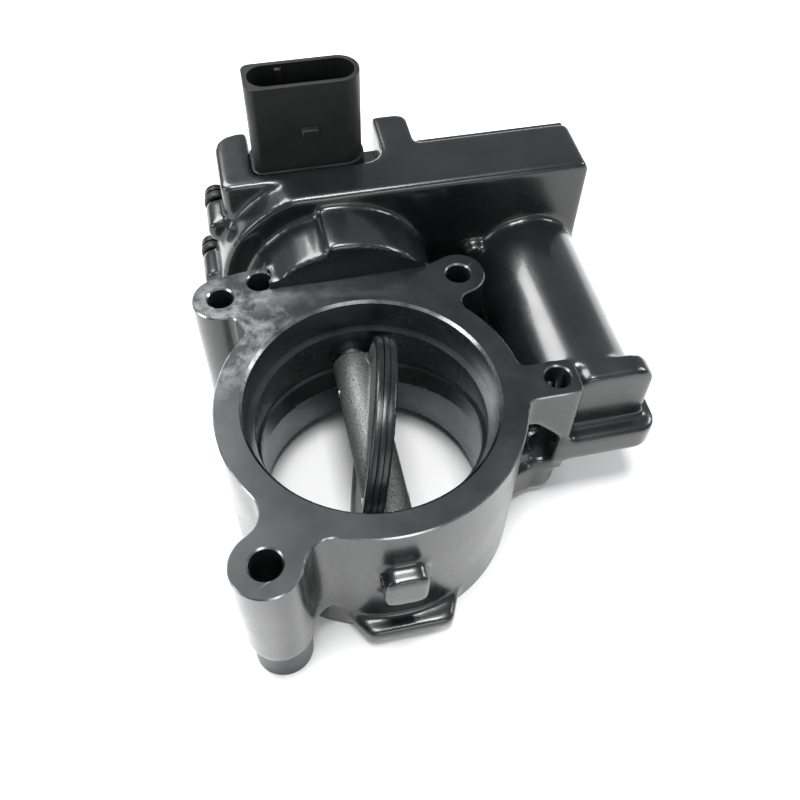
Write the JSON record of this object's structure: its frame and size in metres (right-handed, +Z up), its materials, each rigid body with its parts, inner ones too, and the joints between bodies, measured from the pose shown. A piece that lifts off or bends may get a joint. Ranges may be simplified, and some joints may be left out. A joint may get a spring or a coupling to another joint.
{
  "type": "throttle body",
  "caption": "Motorised throttle body: cast housing with a bore and disc flap on a cross shaft, geared motor drive in a rear case, and an upright electrical connector.",
  "frame": {"origin": "centre of the bounding box at its lowest face, on the plane the base stands on", "axes": "+Z up along the bore towards the flange face; +Y towards the gear case, along the throttle shaft; +X towards the motor"},
  "size_m": [0.1172, 0.1348, 0.0884],
  "materials": {
    "casting": "die casting with a dark glossy skin, machined faces satin",
    "flap_casting": "matt, slightly grainy casting",
    "steel": "ground and plated",
    "dark_steel": "dark, lightly oiled",
    "black_plastic": "black glass-filled moulding",
    "gear_plastic": "natural moulded gear plastic",
    "rubber": "matt black rubber",
    "brass": "turned or stamped brass",
    "copper": "copper, slightly darkened",
    "magnet": "sintered ferrite, dull",
    "board": "green circuit board"
  },
  "bodies": {
    "housing": {"main_housing": "casting", "front_bearing": "brass", "rear_bearing_outer_ring": "steel", "shaft_seal": "rubber", "return_spring": "steel", "intermediate_axle": "steel", "motor_can": "steel", "motor_magnet_left": "magnet", "motor_magnet_right": "magnet", "motor_front_bush": "brass", "motor_rear_bush": "brass", "motor_plate": "dark_steel", "motor_brush_left": "copper", "motor_brush_right": "copper", "motor_screw_1": "steel", "motor_screw_2": "steel", "gear_cover": "black_plastic", "cover_seal": "rubber", "cover_screw_1": "dark_steel", "cover_screw_2": "dark_steel", "cover_screw_3": "dark_steel", "cover_screw_4": "dark_steel", "cover_screw_5": "dark_steel", "cover_screw_6": "dark_steel", "terminal_1": "brass", "terminal_2": "brass", "terminal_3": "brass", "terminal_4": "brass", "terminal_5": "brass", "sensor_board": "board", "sensor_chip": "black_plastic"},
    "throttle": {"throttle_shaft": "steel", "throttle_flap": "flap_casting", "flap_seal_ring": "dark_steel", "flap_pin_1": "steel", "flap_pin_2": "steel", "rear_bearing_inner_ring": "steel", "throttle_gear": "gear_plastic", "position_magnet": "magnet"},
    "intermediate": {"intermediate_gear": "gear_plastic"},
    "rotor": {"motor_pinion": "brass", "motor_shaft": "steel", "motor_armature": "dark_steel", "armature_winding": "copper", "motor_commutator": "copper"}
  },
  "joints": [
    {"name": "throttle_turn", "type": "hinge", "parent": "housing", "child": "throttle", "pos_m": [-0.01845, -0.02065, 0.0284], "axis": [0, 1, 0], "range_deg": [-6, 82]},
    {"name": "intermediate_turn", "type": "hinge", "parent": "housing", "child": "intermediate", "pos_m": [0.01055, -0.02065, 0.03351], "axis": [0, 1, 0], "range_deg": [-236, 17.5]},
    {"name": "motor_turn", "type": "hinge", "parent": "housing", "child": "rotor", "pos_m": [0.03828, -0.02065, 0.02962], "axis": [0, 1, 0], "range_deg": [-83.5, 1139.6]}
  ],
  "couplings": [
    {"joint": "intermediate_turn", "follows": "throttle_turn", "ratio": -2.875},
    {"joint": "motor_turn", "follows": "throttle_turn", "ratio": 13.896}
  ]
}
